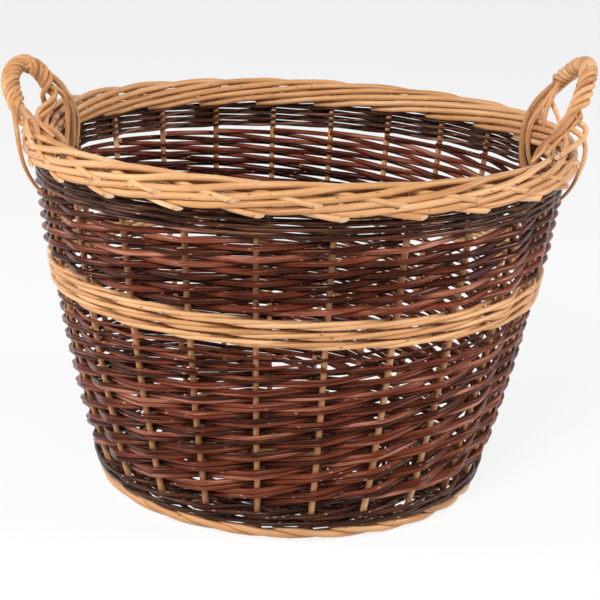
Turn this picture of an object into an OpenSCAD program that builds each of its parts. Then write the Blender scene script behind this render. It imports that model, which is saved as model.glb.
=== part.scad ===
// Round willow basket with two rope handles, in millimetres.
// The origin is on the floor, under the middle of the base. The handles are at +X and -X, the front is -Y.
// Angles round the basket are measured from the front, growing to the right.

/* [Basket] */
// Height from the floor to the crest of the border
basket_h = 368; // [340:1:420]
// Radius of the ring of stakes, carried down to the floor
floor_r = 188; // [165:1:210]
// Radius of the ring of stakes, carried up to the crest
crest_r = 262.5; // [245:0.5:290]
// How far the side swells beyond a straight cone
side_bulge = 9.6; // [4:0.1:20]

/* [Stakes] */
// Diameter of a side stake
stake_d = 6.4; // [5:0.1:7.2]
// Angle of the first stake from the front
stake_turn = 7.5; // [0:0.5:15]

/* [Base] */
// Diameter of a base stick
stick_d = 10; // [8:0.1:12]
// Room between neighbouring base sticks in the cross
stick_gap = 0.8; // [0.7:0.1:2]
// Thickness left of the sticks that pass through the slits
slit_h = 5.6; // [4:0.1:6.5]
// Height of the middle of the base above the floor
base_z = 15.5; // [15.5:0.1:16]
// Reach of a base stick from the middle
stick_reach = 176; // [150:1:180]
// Diameter of a base weaving rod
base_rod_d = 6; // [4.5:0.1:6.4]
// Radius of the first round of the base weaving
first_round_r = 46; // [40:1:60]
// Length of a stake that lies in the base
stake_root = 70; // [40:1:90]

/* [Foot border] */
// Diameter of a foot rod
foot_rod_d = 8; // [6:0.1:8.5]
// Outer radius of the foot border
foot_r = 198; // [180:1:215]
// Room left between neighbouring foot rods
foot_gap = 0.8; // [0.6:0.05:1]

/* [Side weaving] */
// Height of the lower edge of the upsett above the floor
upsett_z = 19.2; // [19.2:0.1:24]
// Height of the one round of the upsett
upsett_h = 17; // [12:0.1:17]
// How much lower the upsett lies in front of the stakes than behind them
upsett_droop = 4; // [0:0.1:4.2]
// Height of the lower edge of the middle band above the floor
band_z = 209; // [180:1:225]
// Height of one round of the middle band
band_round_h = 9.7; // [8:0.1:11]
// Height of the round of wale under the border
top_wale_h = 12.4; // [11:0.1:12.5]
// Stakes that a lower siding rod passes
lower_passes = 20; // [16:2:22]
// Stakes that an upper siding rod passes
upper_passes = 14; // [10:2:16]
// Room left between neighbouring rods
weave_gap = 0.35; // [0.2:0.05:0.5]
// Room left between a rod and the stake that it bends round
bend_gap = 0.5; // [0.4:0.05:0.8]

/* [Top border] */
// Diameter of a border rod
border_rod_d = 6.5; // [5.5:0.1:6.6]
// Half the width, middle to middle, that the border rods span over the stake tips
border_half_w = 11; // [11:0.1:12]
// Height of the arch that the border rods make over the stake tips
border_arch = 9.5; // [9:0.1:12]
// Height that a border rod rises along the outside before the arch
border_rise = 13.8; // [13.4:0.1:16]

/* [Handles] */
// Height of the left handle's middle line above the crest
left_rise = 48; // [38:1:70]
// Height of the right handle's middle line above the crest
right_rise = 64; // [38:1:80]
// Distance of the left handle's top from the basket's axis
left_reach = 281; // [270:1:295]
// Distance of the right handle's top from the basket's axis
right_reach = 276; // [270:1:295]
// Angle from the middle of the left handle to each foot
left_spread = 19; // [16:0.5:26]
// Angle from the middle of the right handle to each foot
right_spread = 24; // [16:0.5:26]
// Diameter of the bow inside the rope
bow_d = 7.2; // [6:0.1:7.6]
// Diameter of a rope rod
rope_rod_d = 6.6; // [5:0.1:6.8]
// Diameter of the rope rods where they taper off into the weave
tail_d = 5.8; // [4:0.1:6]
// Depth that the handle's inner ends reach below the crest
leg_depth = 50; // [36:1:60]
// Length of bare bow between its foot and the rope
bare_bow = 25; // [25:1:34]

/* [Hidden] */
$fn = 48;

buff = "#dcb27c";
peeled = "#c99461";
brown = "#5b3429";
dark_brown = "#45261e";

sticks_each_way = 3;
base_ends = 4 * sticks_each_way;
stakes = 2 * base_ends;
pitch = 360 / stakes;
rod_sides = 4;
seat_gap = 0.35;

// The side is a circular arc in section, from the floor to the crest.
side_chord = [crest_r - floor_r, basket_h];
side_len = norm(side_chord);
side_arc_r = side_len * side_len / (8 * side_bulge) + side_bulge / 2;
side_out = [side_chord[1], -side_chord[0]] / side_len;
side_mid = [floor_r + crest_r, basket_h] / 2;
side_centre = side_mid - side_out * (side_arc_r - side_bulge);

// The border arches over the stake tips.
arch_top_z = basket_h - border_rod_d / 2;
arch_z = arch_top_z - border_arch;
arch_r = wall_r(arch_z);
border_low_z = arch_z - border_rise - border_rod_d / 2;
outside_steps = 2;
arch_steps = 3;

// Stake tips end between the two border rods that pass nearest to them.
stake_tip_z = arch_z + border_arch * (1 - 1 / (arch_steps * arch_steps)) - border_rod_d / 2 - seat_gap;

upsett_top = upsett_z + upsett_h;
band_top = band_z + 3 * band_round_h;
top_wale_z = border_low_z + border_rod_d - top_wale_h;

// A siding thins upward, because every rod in it ends in its tip.
lower_thinning_share = 0.36;
upper_thinning_share = 0.06;

// Spacings in a round of wale, in strand pitches: where a strand lies in front, and where it goes behind.
wale_front_share = 0.55;
wale_back_share = 0.45;
wale_rod_share = 0.93;
wale_turn_share = 0.25;

// A foot rod moves inward and down by its own width for every stake that it passes.
foot_sweep = 2;
foot_in_share = 0.98;
foot_down_share = sqrt(1 - foot_in_share * foot_in_share);
foot_cut = 0.5;

rope_strands = 4;
rope_turns = 3;
rope_rings = 20;
tail_wrap = 110;
arc_pieces = 12;
rod_fn = 32;
knuckle_share = 1.08;

function wall_r(z) = side_centre[0] + sqrt(side_arc_r * side_arc_r - (z - side_centre[1]) * (z - side_centre[1]));
// Change of that radius for each unit of height.
function wall_slope(z) = (side_centre[1] - z) / (wall_r(z) - side_centre[0]);
function at(angle, r, z) = [r * sin(angle), -r * cos(angle), z];
function stake_angle(n) = stake_turn + pitch * n;

// A rod round the basket is a list of [angle, r, z, radius]; each becomes one ring of the tube.
function ring(p) = [for (s = [0 : rod_sides - 1])
    at(p[0], p[1] + p[3] * cos(s * 360 / rod_sides), p[2] + p[3] * sin(s * 360 / rod_sides))];
function flat(lists) = [for (l = lists) each l];

// Faces of a tube of n rings, whose points start at index first.
function tube_faces(n, first) = concat(
    [for (i = [0 : n - 2]) for (s = [0 : rod_sides - 1])
        let (a = first + i * rod_sides + s, b = first + i * rod_sides + (s + 1) % rod_sides)
        each [[a, b, b + rod_sides], [a, b + rod_sides, a + rod_sides]]],
    [[for (s = [0 : rod_sides - 1]) first + rod_sides - 1 - s]],
    [[for (s = [0 : rod_sides - 1]) first + (n - 1) * rod_sides + s]]);

// A set of rods, given as lists of rings of points, each list one closed tube.
module tubes(rods) {
    counts = [for (r = rods) len(r)];
    starts = [for (i = 0, sum = 0; i < len(counts); sum = sum + counts[i] * rod_sides, i = i + 1) sum];
    polyhedron(points = flat([for (r = rods) flat(r)]),
        faces = flat([for (i = [0 : len(rods) - 1]) tube_faces(counts[i], starts[i])]));
}

// Turn that carries the axes to x, y and z.
function turn_of(x, y, z) = [atan2(y[2], z[2]), -asin(x[2]), atan2(x[1], x[0])];

// A round rod bent to an arc from a to b, standing off its chord by rise towards out.
module arc_rod(a, b, out, rise, r) {
    x = (b - a) / norm(b - a);
    y = (out - (out * x) * x) / norm(out - (out * x) * x);
    arc_r = norm(b - a) * norm(b - a) / (8 * rise) + rise / 2;
    half = 2 * atan(2 * rise / norm(b - a));
    translate((a + b) / 2) rotate(turn_of(x, y, cross(x, y)))
        translate([0, rise - arc_r, 0]) rotate([0, 0, 90 - half])
            rotate_extrude(angle = 2 * half, $fn = ceil(arc_pieces * 180 / half))
                translate([arc_r, 0]) circle(r = r, $fn = rod_fn);
}

module straight_rod(a, b, r) {
    d = b - a;
    translate(a) rotate([0, acos(d[2] / norm(d)), atan2(d[1], d[0])])
        cylinder(h = norm(d), r = r, $fn = rod_fn);
}

// The swelling where a rod is kinked at place, from direction d to direction e. Its poles lie on the axis.
module knuckle(place, d, e, r, axis = [0, 0, 1]) {
    turn = acos(min(1, d * e / (norm(d) * norm(e))));
    translate(place) rotate([0, acos(axis[2]), atan2(axis[1], axis[0])])
        sphere(r = knuckle_share * r / cos(turn / 2), $fn = rod_fn);
}

// A rod of straight stretches, kinked at each point between its ends.
module bent_rod(points, r) {
    last = len(points) - 1;
    for (i = [0 : last - 1]) straight_rod(points[i], points[i + 1], r);
    for (i = [1 : last - 1]) knuckle(points[i], points[i] - points[i - 1], points[i + 1] - points[i], r);
}

// A rod that keeps to the basket's round between two places [angle, r, z].
module round_rod(p, q, r) {
    a = at(p[0], p[1], p[2]);
    b = at(q[0], q[1], q[2]);
    mid = (a + b) / 2;
    arc_rod(a, b, [mid[0], mid[1], 0], (p[1] + q[1]) / 2 - norm([mid[0], mid[1]]), r);
}

// Points of one base stick: side by side in the cross, then fanned out to its own end.
function stick_points(n) = let (spread = 90 / sticks_each_way, side = n * (stick_d + stick_gap),
    near = sticks_each_way * (stick_d + stick_gap) / 2 + stick_d, far = stick_reach)
    [[-far * cos(spread * n), far * sin(spread * n), base_z], [-near, side, base_z],
     [near, side, base_z], [far * cos(spread * n), far * sin(spread * n), base_z]];

module bent_stick(n) {
    points = stick_points(n);
    if (n == 0) straight_rod(points[0], points[3], stick_d / 2);
    else bent_rod(points, stick_d / 2);
}

slit_half = sticks_each_way * (stick_d + stick_gap) / 2 + seat_gap;

module base_sticks_pierced() {
    color(peeled) for (n = [-1 : 1]) difference() {
        bent_stick(n);
        translate([-slit_half, n * (stick_d + stick_gap) - stick_d, base_z - slit_h / 2 - seat_gap])
            cube([2 * slit_half, 2 * stick_d, slit_h + 2 * seat_gap]);
    }
}

module base_sticks_through() {
    flat_half = slit_half + stick_d / 2;
    color(peeled) rotate([0, 0, 90]) for (n = [-1 : 1]) difference() {
        bent_stick(n);
        for (side = [-1, 1])
            translate([-flat_half, n * (stick_d + stick_gap) - stick_d,
                base_z + side * (slit_h + stick_d) / 2 - stick_d / 2])
                cube([2 * flat_half, 2 * stick_d, stick_d]);
    }
}

// Rounds of pairing: of each pair one rod lies over the sticks and one under them.
module base_weave() {
    round_pitch = base_rod_d + weave_gap;
    upsett_rod_d = wale_rod_share * wale_unit(upsett_h);
    last_r = [foot_end_r - (foot_rod_d + base_rod_d) / 2 - seat_gap,
        wall_r(upsett_z) - stake_d / 2 - bend_gap - upsett_rod_d - base_rod_d / 2 - seat_gap];
    color(brown) for (layer = [0, 1])
        for (n = [0 : floor((last_r[layer] - first_round_r) / round_pitch)])
            translate([0, 0, base_z + (2 * layer - 1) * (stick_d / 2 + base_rod_d / 2 + seat_gap)])
                rotate_extrude() translate([last_r[layer] - n * round_pitch, 0])
                    circle(d = base_rod_d, $fn = rod_fn);
}

// A stake lies beside its base stick, turns up at the edge of the base and follows the side to the border.
module side_stake(n) {
    angle = stake_angle(n);
    edge_r = wall_r(base_z);
    end_angle = 2 * pitch * floor(n / 2) + stake_turn + pitch / 2;
    beside = stick_d / 2 + stake_d / 2 + weave_gap;
    root_r = edge_r - stake_root;
    root_angle = end_angle + (n % 2 == 0 ? -1 : 1) * asin(beside / root_r);
    root = at(root_angle, root_r, base_z);
    edge = at(angle, edge_r, base_z);
    tip = at(angle, wall_r(stake_tip_z), stake_tip_z);
    half = norm(tip - edge) / 2;
    straight_rod(root, edge, stake_d / 2);
    knuckle(edge, edge - root, at(angle, wall_slope(base_z), 1), stake_d / 2);
    arc_rod(edge, tip, at(angle, 1, 0), side_arc_r - sqrt(side_arc_r * side_arc_r - half * half), stake_d / 2);
}

module side_stakes() {
    color(peeled) for (n = [0 : stakes - 1]) side_stake(n);
}

// The basket stands on these: each rod starts outside, under the upsett, and ends inside on the floor.
foot_step = foot_rod_d + foot_gap;
foot_start_r = foot_r - foot_rod_d / 2;
foot_end_r = foot_start_r - foot_sweep * foot_step * foot_in_share;

module foot_border() {
    low_z = foot_rod_d / 2 - foot_cut;
    color(buff) for (n = [0 : stakes - 1]) difference() {
        round_rod(
            [stake_angle(n), foot_start_r, low_z + foot_sweep * foot_step * foot_down_share],
            [stake_angle(n + foot_sweep), foot_end_r, low_z], foot_rod_d / 2);
        translate([-foot_r, -foot_r, -foot_rod_d]) cube([2 * foot_r, 2 * foot_r, foot_rod_d]);
    }
}

// One round of three-rod wale: each rod passes in front of two stakes and behind one.
// p counts stakes from the one behind which the rod starts.
function wale_unit(round_h) = round_h / (4 * wale_front_share);
function wale_place(p, n, side, up, mid_z, u) = let (rod_r = wale_rod_share * u / 2,
    z = mid_z + up * u, off = stake_d / 2 + rod_r + bend_gap)
    [stake_angle(n + p), wall_r(z) + side * off, z, rod_r];

module wale(low_z, round_h, droop = 0) {
    u = wale_unit(round_h);
    mid_z = low_z + round_h / 2;
    end_share = 0.04;
    rods = [for (n = [0 : 2]) concat(
        [wale_place(end_share, n, -1, 0, mid_z, u)],
        flat([for (p = [0 : 3 : stakes - 3]) concat(
            [wale_place(p + 1, n, 1, wale_front_share, mid_z - droop, u),
             wale_place(p + 2, n, 1, -wale_front_share, mid_z - droop, u)],
            p + 3 < stakes ? [
                wale_place(p + 3 - wale_turn_share, n, -1, -wale_back_share, mid_z, u),
                wale_place(p + 3 + wale_turn_share, n, -1, wale_back_share, mid_z, u)] : [])]),
        [wale_place(stakes - end_share, n, -1, 0, mid_z, u)])];
    tubes([for (rod = rods) [for (p = rod) ring(p)]]);
}

// French randing: every stake has its own rod, which goes behind one stake and in front of the next,
// and climbs by its own height at each. t counts the stakes that the rod has passed.
function siding_mean(low, high, passes) = (high - low) / (passes + 1);
function siding_step(low, high, passes, thinning, t) =
    siding_mean(low, high, passes) * (1 + thinning - 2 * thinning * t / passes);
function siding_z(low, high, passes, thinning, t) = let (mean = siding_mean(low, high, passes))
    low + mean * ((1 + thinning) * (t + 1 / 2) - thinning * t * t / passes);

// One rod of a siding: share is the part of the step that it fills, up the place in the step in rod widths.
function siding_rod(n, low, high, passes, thinning, rods_in_step, up, last) = [for (t = [0 : last])
    let (step = siding_step(low, high, passes, thinning, t),
        rod_r = (step - rods_in_step * weave_gap) / rods_in_step / 2,
        z = siding_z(low, high, passes, thinning, t) + up * (2 * rod_r + weave_gap),
        off = stake_d / 2 + rod_r + bend_gap)
    ring([stake_angle(n + t), wall_r(z) + (t % 2 == 0 ? -off : off), z, rod_r])];

module lower_siding(up, last) {
    color(brown) tubes([for (n = [0 : stakes - 1]) siding_rod(n, upsett_top + seat_gap, band_z - seat_gap,
        lower_passes, lower_thinning_share, 2, up, last)]);
}

module lower_siding_first_rods() { lower_siding(-1 / 2, lower_passes); }
module lower_siding_second_rods() { lower_siding(1 / 2, lower_passes - 2); }

module upper_siding() {
    color(brown) tubes([for (n = [0 : stakes - 1]) siding_rod(n, band_top + seat_gap, top_wale_z - seat_gap,
        upper_passes, upper_thinning_share, 1, 0, upper_passes)]);
}

module upsett_wale() { color(dark_brown) wale(upsett_z, upsett_h, upsett_droop); }
module middle_band_round(n) { color(buff) wale(band_z + (n - 1) * band_round_h, band_round_h); }
module top_wale() { color(dark_brown) wale(top_wale_z, top_wale_h); }

// A border rod rises along the outside past two stakes, then arches over the stake tips and ends inside.
module border_rod(n) {
    outside = arch_r + border_half_w;
    start = at(stake_angle(n + outside_steps), outside, arch_z);
    end = at(stake_angle(n + outside_steps + arch_steps), arch_r - border_half_w, arch_z);
    mid = (start + end) / 2;
    off = at(stake_angle(n + outside_steps + arch_steps / 2), arch_r - norm([mid[0], mid[1]]), border_arch);
    along = at(stake_angle(n + outside_steps) + 90, 1, 0);
    round_rod([stake_angle(n), outside, arch_z - border_rise],
        [stake_angle(n + outside_steps), outside, arch_z], border_rod_d / 2);
    knuckle(start, along, along, border_rod_d / 2, along);
    arc_rod(start, end, off, norm(off), border_rod_d / 2);
}

module top_border() {
    color(buff) for (n = [0 : stakes - 1]) border_rod(n);
}

// Handles. The legs run down inside the border and against the inside of the siding.
leg_z = basket_h - leg_depth;
siding_rod_d = siding_step(band_top, top_wale_z, upper_passes, upper_thinning_share, 0);
inner_face_r = min(arch_r - border_half_w - border_rod_d / 2, wall_r(leg_z) - stake_d / 2 - bend_gap - siding_rod_d);
leg_r = inner_face_r - seat_gap - bow_d / 2;

// The middle line of a bow: both feet, the direction and height of its top, and its arc.
function bow_line(middle, spread, rise, reach) = let (
    a = at(middle - spread, leg_r, basket_h),
    b = at(middle + spread, leg_r, basket_h),
    out = at(middle, reach - leg_r * cos(spread), rise),
    tall = norm(out), wide = norm(b - a))
    [a, b, out, tall, wide * wide / (8 * tall) + tall / 2, 2 * atan(2 * tall / wide)];

module handle_bow(middle, spread, rise, reach) {
    bow = bow_line(middle, spread, rise, reach);
    color(peeled) {
        arc_rod(bow[0], bow[1], bow[2], bow[3], bow_d / 2);
        for (end = [0, 1]) {
            foot = bow[end];
            along = (bow[1 - end] - foot) / norm(bow[1 - end] - foot);
            d = along * cos(bow[5]) + bow[2] / bow[3] * sin(bow[5]);
            straight_rod([foot[0], foot[1], leg_z], foot, bow_d / 2);
            knuckle(foot, [0, 0, 1], d, bow_d / 2);
        }
    }
}

// Rods laid round the bow, from one end of the rope to the other.
module handle_rope(middle, spread, rise, reach) {
    bow = bow_line(middle, spread, rise, reach);
    x = (bow[1] - bow[0]) / norm(bow[1] - bow[0]);
    y = bow[2] / bow[3];
    arc_r = bow[4];
    centre = (bow[0] + bow[1]) / 2 + y * (bow[3] - arc_r);
    rope_half = bow[5] - bare_bow / arc_r * 180 / PI;
    wrap_r = (bow_d / 2 + rope_rod_d / 2 + seat_gap) / cos(180 * rope_turns / rope_rings);
    lean = atan(2 * PI * wrap_r * rope_turns / (rope_half / 90 * PI * arc_r));
    color(buff) tubes([for (s = [0 : rope_strands - 1]) [for (i = [0 : rope_rings])
        let (turn = rope_half * (2 * i / rope_rings - 1),
            round_turn = 360 * (rope_turns * i / rope_rings + s / rope_strands),
            off_axis = x * sin(turn) + y * cos(turn), along = x * cos(turn) - y * sin(turn),
            across = cross(along, off_axis),
            from_bow = off_axis * cos(round_turn) + across * sin(round_turn),
            round_bow = across * cos(round_turn) - off_axis * sin(round_turn),
            aside = along * sin(lean) - round_bow * cos(lean),
            place = centre + arc_r * off_axis + wrap_r * from_bow)
        [for (k = [0 : rod_sides - 1]) place
            + rope_rod_d / 2 * (cos(k * 360 / rod_sides) * from_bow + sin(k * 360 / rod_sides) * aside)]]]);
}

// At each foot two rods of the rope go down inside and two are brought over the border and down outside.
module handle_tails(middle, spread) {
    wrap_r = border_half_w + border_rod_d / 2 + tail_d / 2 + seat_gap;
    side_turn = asin((bow_d + tail_d + 2 * weave_gap) / 2 / leg_r);
    end_r = wall_r(leg_z) + stake_d / 2 + bend_gap + siding_rod_d + tail_d / 2;
    inner_r = inner_face_r - seat_gap - tail_d / 2;
    color(buff) for (foot = [-1, 1]) for (side = [-1, 1]) {
        angle = middle + foot * spread + side * side_turn;
        over = at(angle, arch_r + wrap_r * cos(tail_wrap), arch_z + wrap_r * sin(tail_wrap));
        down = at(angle, arch_r + wrap_r, arch_z);
        low = at(angle, arch_r + wrap_r, border_low_z);
        tip = at(angle, end_r, leg_z);
        straight_rod(at(angle, inner_r, leg_z), at(angle, inner_r, basket_h), tail_d / 2);
        arc_rod(over, down, at(angle, cos(tail_wrap / 2), sin(tail_wrap / 2)),
            wrap_r * (1 - cos(tail_wrap / 2)), tail_d / 2);
        knuckle(down, [0, 0, 1], [0, 0, 1], tail_d / 2);
        bent_rod([down, low, tip], tail_d / 2);
    }
}

module left_handle_bow() { handle_bow(-90, left_spread, left_rise, left_reach); }
module left_handle_rope() { handle_rope(-90, left_spread, left_rise, left_reach); }
module left_handle_tails() { handle_tails(-90, left_spread); }
module right_handle_bow() { handle_bow(90, right_spread, right_rise, right_reach); }
module right_handle_rope() { handle_rope(90, right_spread, right_rise, right_reach); }
module right_handle_tails() { handle_tails(90, right_spread); }

base_sticks_pierced();
base_sticks_through();
base_weave();
side_stakes();
foot_border();
upsett_wale();
lower_siding_first_rods();
lower_siding_second_rods();
middle_band_round(1);  // middle_band_round_1
middle_band_round(2);  // middle_band_round_2
middle_band_round(3);  // middle_band_round_3
upper_siding();
top_wale();
top_border();
left_handle_bow();
left_handle_rope();
left_handle_tails();
right_handle_bow();
right_handle_rope();
right_handle_tails();
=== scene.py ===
# Round willow basket with two rope handles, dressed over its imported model.
# Lengths are millimetres, as in the source of the model, and MM turns them to metres.
# Angles round the basket are degrees from the front, growing to the right.
# A way is the list of places that a rod follows.
import math
import random

import bpy
import numpy as np
from mathutils import Matrix, Vector


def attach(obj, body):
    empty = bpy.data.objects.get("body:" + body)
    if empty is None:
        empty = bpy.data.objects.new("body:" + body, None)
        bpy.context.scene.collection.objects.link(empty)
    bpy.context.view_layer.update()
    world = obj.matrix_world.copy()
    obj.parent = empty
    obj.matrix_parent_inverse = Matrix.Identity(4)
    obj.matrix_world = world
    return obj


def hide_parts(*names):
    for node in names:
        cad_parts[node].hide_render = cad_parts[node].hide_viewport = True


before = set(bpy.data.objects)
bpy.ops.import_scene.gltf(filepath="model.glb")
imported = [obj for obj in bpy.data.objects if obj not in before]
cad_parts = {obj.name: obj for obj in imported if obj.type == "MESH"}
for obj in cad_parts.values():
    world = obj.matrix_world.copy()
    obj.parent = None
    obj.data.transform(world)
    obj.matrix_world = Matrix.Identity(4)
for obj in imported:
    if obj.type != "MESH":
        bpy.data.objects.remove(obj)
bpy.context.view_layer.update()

MM = 0.001

# Sizes that the source of the model has too.
BASKET_H = 368
FLOOR_R = 188
CREST_R = 262.5
SIDE_BULGE = 9.6
STAKES = 24
FIRST_STAKE = 7.5
STAKE_D = 6.4
STAKE_ROOT = 70
STAKE_TIP_SHARE = 1 - 1 / 9
STICK_D = 10
STICK_GAP = 0.8
STICK_REACH = 176
STICK_FAN = 30
BASE_Z = 15.5
FIRST_ROUND_R = 46
UPSETT_Z = 19.2
UPSETT_H = 17
UPSETT_DROOP = 4
BAND_Z = 209
BAND_ROUNDS = 3
BAND_ROUND_H = 9.7
LOWER_PASSES = 20
LOWER_THINNING = 0.36
UPPER_THINNING = 0.06
WEAVE_GAP = 0.35
SEAT_GAP = 0.35
BORDER_ROD_D = 6.5
BORDER_ARCH = 9.5
BORDER_RISE = 13.8

# Sizes that the scene alone has, as the photograph shows the willow.
UPPER_PASSES = 12
SECOND_RODS_SHORT = 3
TOP_WALE_ROUNDS = 4
TOP_WALE_ROUND_H = 6.7
TOP_WALE_TUCK = 2.8
UPSETT_ROUNDS = 2
ROD_GAP = 0.1
BASE_WEAVER_D = 4.6
BASE_ROUND_STEP = 8.3
END_R = 2.7
BOW_R = 3.6
ROPE_RODS = 5
ROPE_ROD_R = 2.85
ROPE_R = 6.4
ROPE_FOOT_NARROWING = 1.7

# A round of wale is this many of its rods high.
WALE_LAYERS = 2.2
# A woven rod swings this much wider than its stake asks, because its bends are then rounded off.
WALE_SWING = 1.1
SIDING_SWING = 1.1
# Siding rods are this much thicker than their share of the height, as they nest between each other.
SIDING_FILL = 1.05
# Buds are this many metres apart, and swell a rod by this share.
BUD_SPACING = 0.06
BUD_SWELLING = 0.12
# A rod's buds and grain start at a random place in this many metres.
LONGEST_START = 3

PITCH = 360 / STAKES
STICK_STEP = STICK_D + STICK_GAP
CROSS_HALF = 1.5 * STICK_STEP + STICK_D


# Side of the basket
def side_arc():
    """Radius and centre of the arc that the side follows in section, from the floor to the crest."""
    run, rise = CREST_R - FLOOR_R, BASKET_H
    length = math.hypot(run, rise)
    radius = length * length / (8 * SIDE_BULGE) + SIDE_BULGE / 2
    out = (rise / length, -run / length)
    middle = ((FLOOR_R + CREST_R) / 2, BASKET_H / 2)
    back = radius - SIDE_BULGE
    return radius, (middle[0] - out[0] * back, middle[1] - out[1] * back)


ARC_R, ARC_CENTRE = side_arc()


def wall_r(z):
    """Radius of the ring of stakes at a height, for numbers and arrays."""
    return ARC_CENTRE[0] + np.sqrt(ARC_R * ARC_R - (z - ARC_CENTRE[1]) ** 2)


ARCH_Z = BASKET_H - BORDER_ROD_D / 2 - BORDER_ARCH
ARCH_R = float(wall_r(ARCH_Z))
BORDER_LOW_Z = ARCH_Z - BORDER_RISE - BORDER_ROD_D / 2
UPSETT_TOP = UPSETT_Z + UPSETT_H
BAND_TOP = BAND_Z + BAND_ROUNDS * BAND_ROUND_H
TOP_WALE_Z = BORDER_LOW_Z + TOP_WALE_TUCK - TOP_WALE_ROUNDS * TOP_WALE_ROUND_H


# Lines
def places(angle, r, z):
    """Points round the basket from angles, distances from its axis and heights."""
    a = np.radians(np.asarray(angle, float))
    r = np.broadcast_to(r, a.shape)
    z = np.broadcast_to(z, a.shape)
    return np.stack([r * np.sin(a), -r * np.cos(a), z], axis=-1)


def at_places(way):
    """Points from rows of angle, distance from the axis and height."""
    return [places([angle], r, z)[0] for angle, r, z in way]


def stake_angle(n):
    return FIRST_STAKE + PITCH * n


def give(rng, size):
    """A chance amount of up to size to either side of nothing."""
    return size * rng.uniform(-1, 1)


def drift(rng, t, size, length=1.0):
    """A slow wander along a rod: three sines of random phase, about size high and length long."""
    out = np.zeros_like(t)
    for waves in (0.31, 0.57, 1.0):
        out += np.sin(2 * math.pi * (waves * t / length + rng.random())) * rng.uniform(0.4, 1.0)
    return size * out / 2


def smooth(points, gap, values=None):
    """A curve through the points, with about gap between its own, and the values carried along it."""
    p = np.asarray(points, float)
    if values is not None:
        p = np.hstack([p, np.asarray(values, float).reshape(len(p), 1)])
    far = np.linalg.norm(np.diff(p[:, :3], axis=0), axis=1)
    t = np.concatenate([[0], np.cumsum(np.sqrt(far))])
    slope = np.gradient(p, t, axis=0)
    out = []
    for i in range(len(p) - 1):
        h = t[i + 1] - t[i]
        steps = max(1, round(far[i] / gap))
        u = (np.arange(steps) / steps)[:, None]
        out.append((2 * u**3 - 3 * u**2 + 1) * p[i] + (u**3 - 2 * u**2 + u) * h * slope[i]
                   + (3 * u**2 - 2 * u**3) * p[i + 1] + (u**3 - u**2) * h * slope[i + 1])
    out = np.vstack(out + [p[-1:]])
    return (out[:, :3], out[:, 3]) if values is not None else out


def eased(t, knots, values, width):
    """Straight runs between the knots, with each kink rounded over width to both sides."""
    steps = np.linspace(-width, width, 9)
    return np.mean([np.interp(t + w, knots, values) for w in steps], axis=0)


def stake_steps(last):
    """Places to sample a woven rod, in stakes, closer together where it bends round one."""
    part = np.array([0, 0.06, 0.13, 0.22, 0.36, 0.5, 0.64, 0.78, 0.87, 0.94])
    whole = np.arange(0, last)
    return np.concatenate([(whole[:, None] + part).ravel(), [last]])


class Rod:
    """One willow rod: its middle line, its radius along it, its shade and how its ends are cut.

    A cut is a slope: how far the end's rim slides along the rod for each step in that direction.
    """

    def __init__(self, points, radius, cut_start=(0, 0, 0), cut_end=(0, 0, 0), tone=None):
        self.points = np.asarray(points, float)
        self.radius = np.broadcast_to(np.asarray(radius, float), (len(self.points),)).copy()
        self.cut_start, self.cut_end, self.tone = cut_start, cut_end, tone


# Nodes
class NodeMaker:
    """Adds nodes to a tree, and sets or links what goes into them."""

    def __init__(self, tree):
        self.nodes, self.links = tree.nodes, tree.links

    def add(self, kind, **settings):
        node = self.nodes.new(kind)
        for key, value in settings.items():
            setattr(node, key, value)
        return node

    def feed(self, socket, value):
        if isinstance(value, bpy.types.NodeSocket):
            self.links.new(value, socket)
        else:
            socket.default_value = value

    def maths(self, operation, *values, clamp=False):
        node = self.add("ShaderNodeMath", operation=operation, use_clamp=clamp)
        for socket, value in zip(node.inputs, values):
            self.feed(socket, value)
        return node.outputs[0]


class ShapeMaker(NodeMaker):
    """The same for geometry nodes, with attributes on the points."""

    def attribute(self, name, kind="FLOAT"):
        node = self.add("GeometryNodeInputNamedAttribute", data_type=kind)
        node.inputs["Name"].default_value = name
        return node.outputs["Attribute"]

    def store(self, geometry, name, value, kind="FLOAT", domain="POINT"):
        node = self.add("GeometryNodeStoreNamedAttribute", data_type=kind, domain=domain)
        node.inputs["Name"].default_value = name
        self.links.new(geometry, node.inputs["Geometry"])
        self.links.new(value, node.inputs["Value"])
        return node.outputs["Geometry"]

    def passed(self, kind, geometry, **inputs):
        """The geometry after one more node."""
        node = self.add(kind)
        self.links.new(geometry, node.inputs["Geometry"])
        for key, value in inputs.items():
            self.feed(node.inputs[key.replace("_", " ")], value)
        return node.outputs["Geometry"]

    def scaled(self, vector, by):
        node = self.add("ShaderNodeVectorMath", operation="SCALE")
        self.links.new(vector, node.inputs[0])
        self.links.new(by, node.inputs["Scale"])
        return node.outputs["Vector"]


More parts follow.
